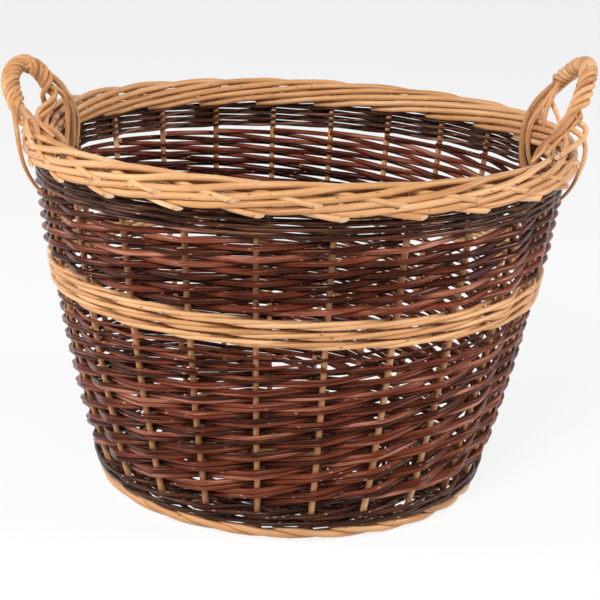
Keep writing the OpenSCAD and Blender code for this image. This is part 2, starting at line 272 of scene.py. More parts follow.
# Geometry nodes that lay a round willow skin along lines
def bud_girth(make, given, thickness, run, rod):
    """The rod's radius, swollen at its buds: one in each stretch of it, at a random place there."""
    rod_shift, bud_from, bud_room, bud_reach = 7.31, 0.2, 0.6, 1.1
    spacing = given.outputs["Bud spacing"]
    along = make.maths("ADD", make.maths("DIVIDE", run, spacing), make.maths("MULTIPLY", rod, rod_shift))
    chance = make.add("ShaderNodeTexWhiteNoise", noise_dimensions="2D")
    pair = make.add("ShaderNodeCombineXYZ")
    make.links.new(make.maths("FLOOR", along), pair.inputs[0])
    make.links.new(rod, pair.inputs[1])
    make.links.new(pair.outputs[0], chance.inputs["Vector"])
    bud_at = make.maths("MULTIPLY_ADD", chance.outputs["Value"], bud_room, bud_from)
    off = make.maths("ABSOLUTE", make.maths("SUBTRACT", make.maths("FRACT", along), bud_at))
    away = make.maths("MULTIPLY", off, spacing)
    share = make.maths("DIVIDE", away, make.maths("MULTIPLY", thickness, bud_reach))
    near = make.maths("MAXIMUM", make.maths("SUBTRACT", 1, share), 0)
    swell = make.maths("MULTIPLY", make.maths("MULTIPLY", near, near), given.outputs["Bud swelling"])
    return make.maths("MULTIPLY", thickness, make.maths("ADD", swell, 1))


def grain_place(make, run, rod):
    """The grain's own coordinates in metres: across the rod, and along it. Rods lie apart in them."""
    rod_apart = 0.37
    across = make.scaled(make.attribute("round", "FLOAT_VECTOR"), make.attribute("girth"))
    split, joined = make.add("ShaderNodeSeparateXYZ"), make.add("ShaderNodeCombineXYZ")
    make.links.new(across, split.inputs[0])
    make.links.new(make.maths("MULTIPLY_ADD", rod, rod_apart, split.outputs[0]), joined.inputs[0])
    make.links.new(split.outputs[1], joined.inputs[1])
    make.links.new(run, joined.inputs[2])
    return joined.outputs[0]


def rod_tree():
    tree = bpy.data.node_groups.new("Willow rods", "GeometryNodeTree")
    face = tree.interface
    face.new_socket("Geometry", in_out="INPUT", socket_type="NodeSocketGeometry")
    for name, kind in (("Sides", "Int"), ("Bud spacing", "Float"), ("Bud swelling", "Float"),
                       ("Skin", "Material")):
        face.new_socket(name, in_out="INPUT", socket_type="NodeSocket" + kind)
    face.new_socket("Geometry", in_out="OUTPUT", socket_type="NodeSocketGeometry")
    make = ShapeMaker(tree)
    given = make.add("NodeGroupInput")
    thickness, run, rod = (make.attribute(name) for name in ("thickness", "run", "rod"))
    girth = bud_girth(make, given, thickness, run, rod)

    curve = make.add("GeometryNodeMeshToCurve")
    make.links.new(given.outputs["Geometry"], curve.inputs["Mesh"])
    line = make.store(curve.outputs["Curve"], "girth", girth)
    position = make.add("GeometryNodeInputPosition").outputs[0]
    line = make.store(line, "middle", position, "FLOAT_VECTOR")
    line = make.store(line, "heading", make.add("GeometryNodeInputTangent").outputs[0], "FLOAT_VECTOR")
    circle = make.add("GeometryNodeCurvePrimitiveCircle")
    make.links.new(given.outputs["Sides"], circle.inputs["Resolution"])
    circle.inputs["Radius"].default_value = 1
    profile = make.store(circle.outputs["Curve"], "round", position, "FLOAT_VECTOR")
    skin = make.add("GeometryNodeCurveToMesh")
    make.links.new(line, skin.inputs["Curve"])
    make.links.new(profile, skin.inputs["Profile Curve"])
    make.links.new(make.attribute("girth"), skin.inputs["Scale"])
    skin.inputs["Fill Caps"].default_value = True

    # An end is cut aslant by sliding its rim along the rod.
    off, slide = (make.add("ShaderNodeVectorMath", operation=kind) for kind in ("SUBTRACT", "DOT_PRODUCT"))
    make.links.new(position, off.inputs[0])
    make.links.new(make.attribute("middle", "FLOAT_VECTOR"), off.inputs[1])
    make.links.new(off.outputs["Vector"], slide.inputs[0])
    make.links.new(make.attribute("slant", "FLOAT_VECTOR"), slide.inputs[1])
    move = make.scaled(make.attribute("heading", "FLOAT_VECTOR"), slide.outputs["Value"])
    body = make.passed("GeometryNodeSetPosition", skin.outputs["Mesh"], Offset=move)

    # The caps are the only faces with more than four corners. They are flat and show cut wood.
    body = make.store(body, "grain", grain_place(make, run, rod), "FLOAT_VECTOR")
    corners = make.add("GeometryNodeInputMeshFaceNeighbors").outputs["Vertex Count"]
    body = make.store(body, "cut", make.maths("GREATER_THAN", corners, 4), "FLOAT", "FACE")
    flank = make.maths("LESS_THAN", corners, 4.5)
    body = make.passed("GeometryNodeSetShadeSmooth", body, Shade_Smooth=flank)
    for name in ("middle", "heading", "round", "girth", "slant", "thickness", "run", "rod"):
        body = make.passed("GeometryNodeRemoveAttribute", body, Name=name)
    body = make.passed("GeometryNodeRealizeInstances", body)
    body = make.passed("GeometryNodeSetMaterial", body, Material=given.outputs["Skin"])
    make.links.new(body, make.add("NodeGroupOutput").inputs["Geometry"])
    return tree


ROD_TREE = rod_tree()


def rod_lines(name, rods, seed):
    """A mesh of bare lines for the rods, with all that the tree needs on its points."""
    rng = random.Random(seed)
    points, edges, slant = [], [], []
    told = {"thickness": [], "run": [], "rod": [], "tone": []}
    for number, rod in enumerate(rods, 1):
        first, count = len(points), len(rod.points)
        line = rod.points * MM
        step = np.linalg.norm(np.diff(line, axis=0), axis=1)
        tone = rng.random() if rod.tone is None else rod.tone
        start = rng.uniform(0, LONGEST_START)
        points += line.tolist()
        edges += [(first + i, first + i + 1) for i in range(count - 1)]
        told["thickness"] += (rod.radius * MM).tolist()
        told["run"] += (start + np.concatenate([[0], np.cumsum(step)])).tolist()
        told["rod"] += [float(number)] * count
        told["tone"] += [float(tone)] * count
        slant += [rod.cut_start] + [(0, 0, 0)] * (count - 2) + [rod.cut_end]
    mesh = bpy.data.meshes.new(name + "_lines")
    mesh.from_pydata(points, edges, [])
    for key, values in told.items():
        mesh.attributes.new(key, "FLOAT", "POINT").data.foreach_set("value", values)
    slants = mesh.attributes.new("slant", "FLOAT_VECTOR", "POINT")
    slants.data.foreach_set("vector", np.array(slant, float).ravel())
    return mesh


def lay_rods(name, rods, skin, nodes, sides, seed):
    """Makes one piece of willow rods and puts it in the place of its nodes."""
    mesh = rod_lines(name, rods, seed)
    lines = bpy.data.objects.new(name + "_lines", mesh)
    bpy.context.scene.collection.objects.link(lines)
    modifier = lines.modifiers.new("Willow rods", "NODES")
    modifier.node_group = ROD_TREE
    sockets = {s.name: s.identifier for s in ROD_TREE.interface.items_tree if s.in_out == "INPUT"}
    for key, value in (("Sides", sides), ("Bud spacing", BUD_SPACING),
                       ("Bud swelling", BUD_SWELLING), ("Skin", skin)):
        modifier[sockets[key]] = value
    view = bpy.context.evaluated_depsgraph_get()
    made = bpy.data.meshes.new_from_object(lines.evaluated_get(view))
    made.name = name
    piece = bpy.data.objects.new(name, made)
    bpy.context.scene.collection.objects.link(piece)
    bpy.data.objects.remove(lines)
    bpy.data.meshes.remove(mesh)
    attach(piece, "root")
    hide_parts(*nodes)


# Willow materials
class SkinMaker(NodeMaker):
    """The same for a material that lies on the rods' own coordinates."""

    def attribute(self, name, output="Fac"):
        node = self.add("ShaderNodeAttribute")
        node.attribute_name = name
        return node.outputs[output]

    def texture(self, kind, across, along, **inputs):
        """A texture with so many waves for each metre across and along the rod."""
        turn, texture = self.add("ShaderNodeMapping"), self.add(kind)
        turn.inputs["Scale"].default_value = (across, across, along)
        self.links.new(self.attribute("grain", "Vector"), turn.inputs["Vector"])
        self.links.new(turn.outputs[0], texture.inputs["Vector"])
        texture.inputs["Scale"].default_value = 1
        for key, value in inputs.items():
            texture.inputs[key].default_value = value
        return texture.outputs

    def mixed(self, share, low, high):
        node = self.add("ShaderNodeMix", data_type="RGBA")
        for socket, value in zip((node.inputs[0], node.inputs[6], node.inputs[7]), (share, low, high)):
            self.feed(socket, value)
        return node.outputs[2]

    def ramp(self, share, colours):
        """Colours from dark to light, each with its place from 0 to 1."""
        node = self.add("ShaderNodeValToRGB")
        node.color_ramp.interpolation = "EASE"
        stops = node.color_ramp.elements
        for at, colour in colours:
            stop = stops[0] if at == 0 else stops[-1] if at == 1 else stops.new(at)
            stop.color = (*colour, 1)
        self.links.new(share, node.inputs["Fac"])
        return node.outputs[0]


# Waves for each metre, across and along the rod.
FIBRE_WAVES = (1100, 30)
BLOTCH_WAVES = (140, 16)
SPECK_WAVES = (330, 130)
# A place's shade is the sum of these shares of its fibre, its blotch and its rod's tone.
FIBRE_SHADE = 0.8
TONE_SHADE = 0.5
SHADE_SHIFT = -0.65
SPECK_R = 0.3
SPECK_SHARPNESS = 6
SPECK_RELIEF = 0.6
GRAIN_RELIEF = 0.4
BLOTCH_ROUGHNESS = 0.22


def willow_skin(name, colours, cut, speck, speck_share, gloss, grain_depth, shine,
                shine_tint=(1.0, 0.86, 0.70)):
    """Willow with its lengthwise grain, blotches, specks and paler cut ends."""
    skin = bpy.data.materials.new(name)
    skin.use_nodes = True
    skin.node_tree.nodes.clear()
    make = SkinMaker(skin.node_tree)
    fibre = make.texture("ShaderNodeTexNoise", *FIBRE_WAVES, Detail=3)["Fac"]
    blotch = make.texture("ShaderNodeTexNoise", *BLOTCH_WAVES, Detail=2)["Fac"]
    shade = make.maths("ADD", blotch, make.maths("MULTIPLY_ADD", fibre, FIBRE_SHADE, SHADE_SHIFT))
    shade = make.maths("MULTIPLY_ADD", make.attribute("tone"), TONE_SHADE, shade, clamp=True)

    # Specks are the scars and pores of the rod.
    cells = make.texture("ShaderNodeTexVoronoi", *SPECK_WAVES)
    chance = make.add("ShaderNodeSeparateColor")
    make.links.new(cells["Color"], chance.inputs[0])
    chosen = make.maths("GREATER_THAN", speck_share, chance.outputs[0])
    inside = make.maths("SUBTRACT", SPECK_R, cells["Distance"], clamp=True)
    dot = make.maths("MULTIPLY", inside, SPECK_SHARPNESS, clamp=True)
    specks = make.maths("MULTIPLY", chosen, dot, clamp=True)
    colour = make.mixed(specks, make.ramp(shade, colours), (*speck, 1))
    colour = make.mixed(make.attribute("cut"), colour, (*cut, 1))

    relief = make.add("ShaderNodeBump")
    relief.inputs["Strength"].default_value = grain_depth
    relief.inputs["Distance"].default_value = GRAIN_RELIEF * MM
    make.links.new(make.maths("MULTIPLY_ADD", specks, SPECK_RELIEF, fibre), relief.inputs["Height"])
    surface = make.add("ShaderNodeBsdfPrincipled")
    make.links.new(colour, surface.inputs["Base Color"])
    make.links.new(make.maths("MULTIPLY_ADD", blotch, BLOTCH_ROUGHNESS, gloss), surface.inputs["Roughness"])
    make.links.new(relief.outputs[0], surface.inputs["Normal"])
    surface.inputs["Specular IOR Level"].default_value = shine
    surface.inputs["Specular Tint"].default_value = (*shine_tint, 1)
    make.links.new(surface.outputs[0], make.add("ShaderNodeOutputMaterial").inputs[0])
    return skin


BUFF = willow_skin(
    "Buff willow",
    [(0, (0.27, 0.095, 0.032)), (0.4, (0.55, 0.272, 0.112)), (0.75, (0.67, 0.376, 0.182)),
     (1, (0.80, 0.52, 0.30))],
    cut=(0.70, 0.44, 0.26), speck=(0.15, 0.05, 0.018), speck_share=0.08,
    gloss=0.26, grain_depth=0.3, shine=0.3)
DEEP_BUFF = willow_skin(
    "Deep buff willow",
    [(0, (0.22, 0.08, 0.03)), (0.45, (0.45, 0.205, 0.088)), (1, (0.66, 0.39, 0.21))],
    cut=(0.68, 0.43, 0.25), speck=(0.14, 0.05, 0.018), speck_share=0.08,
    gloss=0.30, grain_depth=0.3, shine=0.3)
BROWN = willow_skin(
    "Brown bark willow",
    [(0, (0.008, 0.0013, 0.0006)), (0.32, (0.040, 0.007, 0.003)), (0.64, (0.15, 0.031, 0.014)),
     (1, (0.46, 0.195, 0.12))],
    cut=(0.50, 0.27, 0.14), speck=(0.42, 0.23, 0.16), speck_share=0.09,
    gloss=0.10, grain_depth=0.7, shine=0.17, shine_tint=(1.0, 0.66, 0.5))
DARK = willow_skin(
    "Dark bark willow",
    [(0, (0.006, 0.0018, 0.001)), (0.4, (0.030, 0.009, 0.0045)), (0.7, (0.090, 0.029, 0.016)),
     (1, (0.30, 0.155, 0.105))],
    cut=(0.46, 0.26, 0.14), speck=(0.38, 0.22, 0.15), speck_share=0.12,
    gloss=0.12, grain_depth=0.7, shine=0.18, shine_tint=(1.0, 0.72, 0.58))


# Base
def stick_half(n):
    """Where stick n of three leaves the cross and where it ends, for the arm along x."""
    fan = math.radians(STICK_FAN * n)
    return (CROSS_HALF, n * STICK_STEP), (STICK_REACH * math.cos(fan), STICK_REACH * math.sin(fan))


def base_sticks(arm):
    """Three thick sticks of the cross, side by side in the middle and fanned out at both ends."""
    rods = []
    turn = math.radians(arm)
    for n in (-1, 0, 1):
        near, far = stick_half(n)
        line = [(-far[0], far[1]), (-near[0], near[1]), (0, near[1]), near, far]
        line = [(x * math.cos(turn) - y * math.sin(turn), x * math.sin(turn) + y * math.cos(turn), BASE_Z)
                for x, y in line]
        rods.append(Rod(smooth(line, 9), STICK_D / 2 - ROD_GAP))
    return rods


def base_rounds():
    """Pairing: two fine rods change places between the sticks, over one stick and under the next."""
    rods = []
    lift = STICK_D / 2 + BASE_WEAVER_D / 2 + 2 * ROD_GAP
    waves, round_end, steps, start_shift = 6, 357, 192, 11
    for k, round_r in enumerate(np.arange(FIRST_ROUND_R, STICK_REACH - 2, BASE_ROUND_STEP)):
        rng = random.Random(40 + k)
        for half in (0, 1):
            a = np.linspace(0, round_end, steps)
            wave = np.radians(a * waves + 180 * half + 180 * (k % 2))
            r = round_r + BASE_WEAVER_D / 2 * 1.02 * np.sin(wave)
            line = places(a + start_shift * k, r, BASE_Z + lift * np.cos(wave))
            rods.append(Rod(line, BASE_WEAVER_D / 2 * (1 + give(rng, 0.05))))
    return rods


# Stakes
def stake_root(n, edge_r):
    """Where a stake starts: beside its base stick, well inside the base."""
    end = (n + 1) // 2
    arm = math.floor(end / 3 + 0.5)
    near, far = (np.array(p) for p in stick_half(end - 3 * arm))
    along = (far - near) / np.linalg.norm(far - near)
    across = np.array([-along[1], along[0]])
    beside = (1 if n % 2 == 0 else -1) * ((STICK_D + STAKE_D) / 2 + WEAVE_GAP)
    p = far - along * (STICK_REACH - edge_r + STAKE_ROOT) + across * beside
    return places([90 * arm + math.degrees(math.atan2(p[1], p[0]))], math.hypot(*p), BASE_Z)[0]


def side_stakes():
    """Stakes from beside the base sticks, bent up at the edge of the base, to under the border."""
    rods = []
    edge_r = float(wall_r(BASE_Z))
    tip_z = ARCH_Z + BORDER_ARCH * STAKE_TIP_SHARE - BORDER_ROD_D / 2 - SEAT_GAP
    bend_in, bend_up, side_from, side_points = 7, 8, 11, 60
    for n in range(STAKES):
        rng = random.Random(n)
        angle = stake_angle(n)
        root = stake_root(n, edge_r)
        edge = places([angle], edge_r, BASE_Z)[0]
        inner = edge + (root - edge) * (bend_in / np.linalg.norm(root - edge))
        low = places([angle], float(wall_r(BASE_Z + bend_up)), BASE_Z + bend_up)[0]
        bend = smooth([inner, edge * 0.6 + inner * 0.2 + low * 0.2, low], 2)
        z = np.linspace(BASE_Z + side_from, tip_z, side_points)
        sideways = np.full(side_points, angle) + drift(rng, z, 0.10, 90)
        side = places(sideways, wall_r(z) + drift(rng, z, 0.25, 60), z)
        line = np.vstack([[root, root + (inner - root) * 0.5], bend, side])
        radius = np.linspace(STAKE_D / 2, STAKE_D / 2 - 0.15, len(line)) * (1 + give(rng, 0.03))
        rods.append(Rod(line, radius))
    return rods


# Foot
# Each row is the share of a pitch past the stake, distance from the axis, height and the rod's radius.
FOOT_WAY = [
    (-0.62, 195.2, 13.2, 1.9), (-0.3, 195.4, 11.4, 3.2), (0.1, 194.6, 8.6, 3.85), (0.55, 192.0, 6.1, 4.0),
    (1.0, 187.2, 4.5, 4.0), (1.5, 182.2, 4.1, 3.8), (2.1, 176.2, 4.0, 3.4)]
# Before this share of a pitch the rod is off the floor, and its height wanders a little.
FOOT_UNDER = 0.4


def foot_rods():
    """Each rod comes from under the upsett with a slanting tip, runs down and in, under the next."""
    rods = []
    for n in range(STAKES):
        rng = random.Random(100 + n)
        angle = stake_angle(n) + give(rng, 1.2)
        line = [places([angle + PITCH * t], r, z + give(rng, 0.4) * (t < FOOT_UNDER))[0]
                for t, r, z, _ in FOOT_WAY]
        line, radius = smooth(line, 4, [row[3] * (1 + give(rng, 0.03)) for row in FOOT_WAY])
        line[:, 2] = np.maximum(line[:, 2], radius + 0.02)
        rods.append(Rod(line, radius, cut_start=(0, 0, -1.8), tone=rng.uniform(0.2, 0.8)))
    return rods


# Weaving of the side
# A rod of wale starts and ends this far, in stakes, from the middle of its first stake.
WALE_END = 0.04


def wale_knots():
    """Rows of stake, side and layer for a rod of wale. It starts and ends behind the same stake."""
    knots = [(-0.2, -1, 0.0), (WALE_END, -1, 0.0)]
    for p in range(0, STAKES, 3):
        knots += [(p + 0.9, 1.04, -0.55), (p + 2.1, 1.04, 0.55)]
        if p + 3 < STAKES:
            knots += [(p + 2.85, -1, 0.4), (p + 3.15, -1, -0.4)]
    return knots + [(STAKES - WALE_END, -1, 0.0), (STAKES + 0.2, -1, 0.0)]


def wale_rods(low_z, round_h, seed, rod_share=1.0, droop=0, wander=0.35):
    """A round of three-rod wale: each rod rises in front of two stakes and sinks behind one."""
    layer_h = round_h / WALE_LAYERS
    radius = rod_share * layer_h / 2
    off = STAKE_D / 2 + radius + ROD_GAP
    knots = wale_knots()
    at = [k[0] for k in knots]
    rods = []
    for n in range(3):
        rng = random.Random(seed + n)
        side = [k[1] * (1 + give(rng, 0.06)) for k in knots]
        up = [k[2] * layer_h - (droop if k[1] > 0 else 0) + give(rng, wander) for k in knots]
        t = stake_steps(STAKES)
        t = t[(t > WALE_END) & (t < STAKES - WALE_END)]
        z = low_z + round_h / 2 + eased(t, at, up, 0.2)
        r = wall_r(z) + off * WALE_SWING * eased(t, at, side, 0.16)
        line = places(stake_angle(n) + PITCH * t, r, z)
        rods.append(Rod(line, radius * (1 + 0.05 * drift(rng, t, 1.0, 6)), tone=rng.random()))
    return rods


def siding_rods(low, high, passes, thinning, in_step, up, last, seed):
    """French randing: each rod goes behind one stake and in front of the next, climbing as it goes.

    As many rods as in_step leave each stake one on another. up says which of them these are, counted in
    rods from their middle. thinning is the share that a rod is thicker than the mean at its start, and
    thinner at its end.
    """
    mean = (high - low) / (passes + 1)
    rods = []
    for n in range(STAKES):
        rng = random.Random(seed + n)
        t = stake_steps(last)
        whole = np.arange(-1, last + 2)
        step = mean * (1 + thinning - 2 * thinning * t / passes)
        radius = (step - in_step * WEAVE_GAP) / in_step / 2
        climb = mean * ((1 + thinning) * (t + 0.5) - thinning * t * t / passes)
        z = low + climb + up * (2 * radius + WEAVE_GAP)
        z = z + eased(t, whole, [give(rng, 0.35) for _ in whole], 0.2)
        side = [(1 if k % 2 else -1) * (1 + give(rng, 0.05)) for k in whole]
        off = STAKE_D / 2 + radius * SIDING_FILL + ROD_GAP
        r = wall_r(z) + SIDING_SWING * off * eased(t, whole, side, 0.07)
        size = 1 + give(rng, 0.06) + drift(rng, t, 0.03, 9)
        line = places(stake_angle(n) + PITCH * t, r, z)
        rods.append(Rod(line, radius * SIDING_FILL * size, tone=rng.random()))
    return rods


# Border
# Each row is the share of a pitch past the stake, and how far out and up from the top of the stakes.
BORDER_WAY = [
    (-0.8, -2.0, -9.4), (-0.6, 1.4, -10.4), (-0.42, 4.4, -11.4), (-0.2, 8.2, -12.5), (0.03, 11.4, -13.0),
    (0.28, 12.6, -12.2), (0.6, 12.9, -10.2), (1.0, 12.8, -7.2), (1.5, 12.6, -3.8), (2.0, 12.2, -0.4),
    (2.45, 12.0, 3.6), (2.8, 10.6, 7.2), (3.05, 7.9, 9.4), (3.4, 4.0, 9.8), (3.85, 0.0, 8.3),
    (4.35, -4.0, 5.6), (5.0, -8.2, 1.6), (5.6, -10.6, -2.2), (6.1, -11.3, -5.8), (6.6, -10.6, -9.4),
    (6.95, -8.0, -12.4), (7.3, -3.5, -14.0)]
MIDDLE_END_WAY = [
    (-1.1, 3.0, 4.0), (-0.85, 7.2, 2.2), (-0.65, 11.4, 0.4), (-0.45, 14.6, -2.0), (-0.22, 16.2, -5.0)]
LOWER_END_WAY = [
    (-0.95, 0.0, -8.0), (-0.7, 4.8, -11.2), (-0.5, 9.4, -13.4), (-0.3, 12.9, -15.3), (-0.08, 15.0, -17.3)]


def border_rods():
    """Each rod comes out between the stakes, rises along the outside and arches over the stake tips."""
    rods = []
    for n in range(STAKES):
        rng = random.Random(300 + n)
        line = [places([stake_angle(n) + PITCH * t], ARCH_R + out + give(rng, 0.3),
                       ARCH_Z + up + give(rng, 0.4))[0] for t, out, up in BORDER_WAY]
        line = smooth(line, 4)
        radius = BORDER_ROD_D / 2 * (1 + give(rng, 0.05)) * np.linspace(1.03, 0.93, len(line))
        rods.append(Rod(line, radius, tone=rng.uniform(0.15, 0.95)))
    return rods


def border_ends():
    """Cut ends that show outside: one between the border rods and one under them at each stake."""
    rods = []
    for n in range(STAKES):
        rng = random.Random(400 + n)
        for longer, way in ((0.0, MIDDLE_END_WAY), (0.1, LOWER_END_WAY)):
            move = longer + give(rng, 0.09)
            lift = give(rng, 0.8)
            line = [places([stake_angle(n) + PITCH * (t + move)], ARCH_R + out, ARCH_Z + up + lift)[0]
                    for t, out, up in way]
            line = smooth(line, 3)
            radius = END_R * (1 + give(rng, 0.1)) * np.linspace(1, 0.95, len(line))
            x, y = line[-1][:2] / math.hypot(*line[-1][:2])
            rods.append(Rod(line, radius, cut_end=(-1.7 * x, -1.7 * y, 0.7), tone=rng.uniform(0.3, 0.9)))
    return rods


# Handles
# A row is angle, distance from the axis and height. An end is the share of its thickness that the rod
# keeps at its tip, then its own way from where it leaves the rope.
HANDLES = {
    "left": dict(
        turns=4.6,
        seed=900,
        rope=[
            (-89, 260, 352), (-89.2, 256, 370), (-89.7, 253, 386), (-90.8, 256.7, 400), (-91.3, 267, 411),
            (-90.3, 278.5, 416), (-87, 286, 413), (-82.5, 287.5, 404), (-78.2, 283.5, 391),
            (-74.3, 277.5, 379), (-70.5, 273.5, 368), (-69.3, 270, 353)],
        bow=[
            (-99.5, 246, 314), (-100, 239.5, 328), (-100, 238.6, 350), (-98.5, 240, 372), (-95.5, 246, 392),
            (-92.5, 256, 404), (-90.3, 270, 413), (-87, 284, 412), (-82.5, 287.5, 403), (-78.2, 283, 391),
            (-74.3, 276, 380), (-71.5, 266, 373), (-69.8, 254, 368), (-69.8, 243, 358), (-70, 239, 345),
            (-70, 238.6, 322)],
        first_ends=[
            (0.8, [(-91.5, 262, 403), (-94, 254, 399.5), (-95.6, 246, 392), (-97.2, 239.5, 381),
                   (-100.5, 237, 366), (-103, 237.3, 348), (-103, 239, 325)]),
            (0.8, [(-89.3, 258, 396), (-91.2, 248.5, 392), (-92.8, 241, 384), (-94.2, 238, 368),
                   (-94.5, 238, 350), (-94.7, 239.5, 326)]),
            (0.8, [(-90.4, 257, 380), (-91.2, 259.5, 371), (-91.9, 263.5, 362), (-92.2, 265, 350)]),
            (0.8, [(-88.8, 257.5, 381), (-88.7, 260, 371), (-88.7, 264, 362), (-88.8, 265, 350)])],
        last_ends=[
            (0.45, [(-76, 285, 388), (-72.6, 286, 380), (-69.6, 286.5, 368), (-68.8, 284.5, 350),
                    (-69.2, 279, 332), (-69.8, 268.5, 314), (-70.5, 256.5, 302), (-71, 246, 296)]),
            (0.9, [(-78, 278, 384), (-74, 275.5, 377), (-69.5, 277, 370.5), (-65.8, 277, 362),
                   (-63.8, 274, 354)]),
            (0.85, [(-77.5, 274, 382), (-73.5, 268.5, 375), (-69.3, 267.5, 370.5), (-66, 269, 362),
                    (-64.5, 269, 352)]),
            (0.5, [(-76, 271, 380), (-73, 266, 374.5), (-69.5, 262, 371.5), (-65.7, 256.5, 366.5)])]),
    "right": dict(
        turns=5.4,
        seed=950,
        rope=[
            (111.5, 264, 354), (111.3, 266.5, 372), (111, 269.5, 385), (109.3, 275.5, 398),
            (105.5, 279.8, 413), (99.5, 282, 428), (91, 282, 436.5), (83.5, 279.5, 431),
            (79.6, 275.8, 415), (76.9, 270.8, 399), (74.2, 265.5, 384), (71.8, 262.3, 370),
            (70.5, 262, 353)],
        bow=[
            (108.3, 250, 314), (108.5, 246.5, 330), (108.5, 246, 348), (108.6, 247.5, 362),
            (108.7, 252.5, 375), (108.6, 260.5, 387), (107.9, 268.5, 397), (106.7, 274, 405),
            (104.5, 279, 415), (99.5, 282, 427), (91, 282, 435.5), (83.5, 279.5, 430),
            (79.6, 275.5, 415), (76.8, 269, 399), (73.8, 259, 384), (71.7, 246, 370), (71, 239.5, 355),
            (71, 238.6, 322)],
        first_ends=[
            (0.8, [(106.2, 273.5, 402), (106.4, 268, 393), (106, 261, 384), (105.4, 252.5, 375),
                   (104.9, 246.5, 364), (104.7, 244.5, 350), (104.8, 247, 332), (105, 252, 318)]),
            (0.8, [(105.3, 274, 402), (105.6, 269, 391), (105.4, 264, 380), (105, 261.5, 370),
                   (104.6, 262, 358)]),
            (0.65, [(108.8, 271.5, 392), (110.6, 273, 382), (113.2, 276.5, 374.5), (115, 281.5, 364),
                    (115.2, 282, 349), (115.2, 275, 326), (115.2, 262, 308), (115.2, 248, 300)]),
            (0.6, [(109, 272, 394), (107.8, 275, 384), (107, 279, 374), (106.6, 283, 362),
                   (106.6, 282, 347), (106.6, 274.5, 326), (106.6, 262, 308), (106.6, 248, 300)])],
        last_ends=[
            (0.5, [(83.3, 268, 401), (80.5, 261.5, 392.5), (77.5, 254.5, 382.5), (73.3, 250, 373),
                   (65.1, 252.5, 370.5), (59.8, 252.5, 366)]),
            (0.75, [(77, 275, 398), (76.5, 269, 388), (74.6, 261, 379.5), (71.8, 257, 372.5),
                    (67.5, 256, 369.5)]),
            (0.85, [(77.5, 278, 396), (77.5, 282, 386), (76.5, 281, 378), (73, 276, 373.5),
                    (68, 272, 371), (64, 270, 368.5)]),
            (0.5, [(75.2, 272, 390), (75.6, 279, 380), (77, 283.5, 368), (77.5, 283, 355),
                   (77.6, 279, 341), (78.6, 272.5, 325), (79.6, 262.5, 311), (80.4, 249, 300)])]),
}


def twisted(middle, turns, seed):
    """Lines wound round the middle one, tight over the top of the rope and looser towards its feet."""
    n = len(middle)
    along = np.gradient(middle, axis=0)
    along /= np.linalg.norm(along, axis=1)[:, None]
    off = middle - middle[n // 4:3 * n // 4].mean(axis=0)
    off -= along * (off * along).sum(1)[:, None]
    off /= np.linalg.norm(off, axis=1)[:, None]
    across = np.cross(along, off)
    u = np.linspace(-1, 1, n)
    wound = np.cumsum(1.0 - 0.5 * np.abs(u) ** 3)
    wound = (wound - wound[0]) / (wound[-1] - wound[0]) * turns
    lines = []
    for s in range(ROPE_RODS):
        rng = random.Random(seed + s)
        wide = ROPE_R - ROPE_FOOT_NARROWING * np.abs(u) ** 5 + drift(rng, u, 0.3, 0.5)
        turn = 2 * math.pi * (wound + s / ROPE_RODS) + drift(rng, u, 0.12, 0.6)
        lines.append(middle + wide[:, None] * (off * np.cos(turn)[:, None] + across * np.sin(turn)[:, None]))
    return lines


def leavers(lines, ends, half):
    """For each end, the nearest free line of the rope, and where in this half of it the end leaves."""
    chosen = {}
    for thin, way in ends:
        way = at_places(way)
        near = []
        for s, line in enumerate(lines):
            if s not in chosen:
                far = np.linalg.norm(line[half] - way[0], axis=1)
                near.append((far.min(), s, half.start + int(far.argmin())))
        _, s, at = min(near)
        chosen[s] = (at, thin, way[1:])
    return chosen


def rope_rods(way, turns, first_ends, last_ends, seed):
    """Rods twisted from foot to foot. At a foot most of them leave the rope for ways of their own."""
    middle = smooth(at_places(way), 1.6)
    count = len(middle)
    lines = twisted(middle, turns, seed)
    first = leavers(lines, first_ends, slice(0, count // 2))
    last = leavers(lines, last_ends, slice(count // 2, count))
    rods = []
    for s, line in enumerate(lines):
        rng = random.Random(seed + 50 + s)
        start, thin_start, before = first.get(s, (0, 1, []))
        stop, thin_stop, after = last.get(s, (count - 1, 1, []))
        body = line[start:stop + 1:3]
        rows = before[::-1] + list(body) + after
        share = np.concatenate([np.linspace(thin_start, 1, len(before) + 1)[:-1], np.ones(len(body)),
                                np.linspace(1, thin_stop, len(after) + 1)[1:]])
        line, girth = smooth(rows, 1.8, share)
        radius = ROPE_ROD_R * (1 + give(rng, 0.05)) * girth
        outs = [p * np.array([1, 1, 0]) / math.hypot(p[0], p[1]) for p in (line[0], line[-1])]
        rods.append(Rod(line, radius, tuple(1.4 * outs[0]), tuple(-1.4 * outs[1]), rng.uniform(0.1, 0.95)))
    return rods


# Pieces, from the floor up
lay_rods("base_sticks_pierced_willow", base_sticks(0), DEEP_BUFF,
         ["base_sticks_pierced"], sides=14, seed=2)
lay_rods("base_sticks_through_willow", base_sticks(90), DEEP_BUFF,
         ["base_sticks_through"], sides=14, seed=3)
lay_rods("base_weave_willow", base_rounds(), BROWN, ["base_weave"], sides=8, seed=4)
lay_rods("side_stakes_willow", side_stakes(), DEEP_BUFF, ["side_stakes"], sides=12, seed=5)
lay_rods("foot_border_willow", foot_rods(), BUFF, ["foot_border"], sides=14, seed=6)

upsett = []
for k in range(UPSETT_ROUNDS):
    round_h = UPSETT_H / UPSETT_ROUNDS
    upsett += wale_rods(UPSETT_Z + k * round_h, round_h, 20 + 4 * k, droop=UPSETT_DROOP)
lay_rods("upsett_wale_willow", upsett, DARK, ["upsett_wale"], sides=12, seed=7)

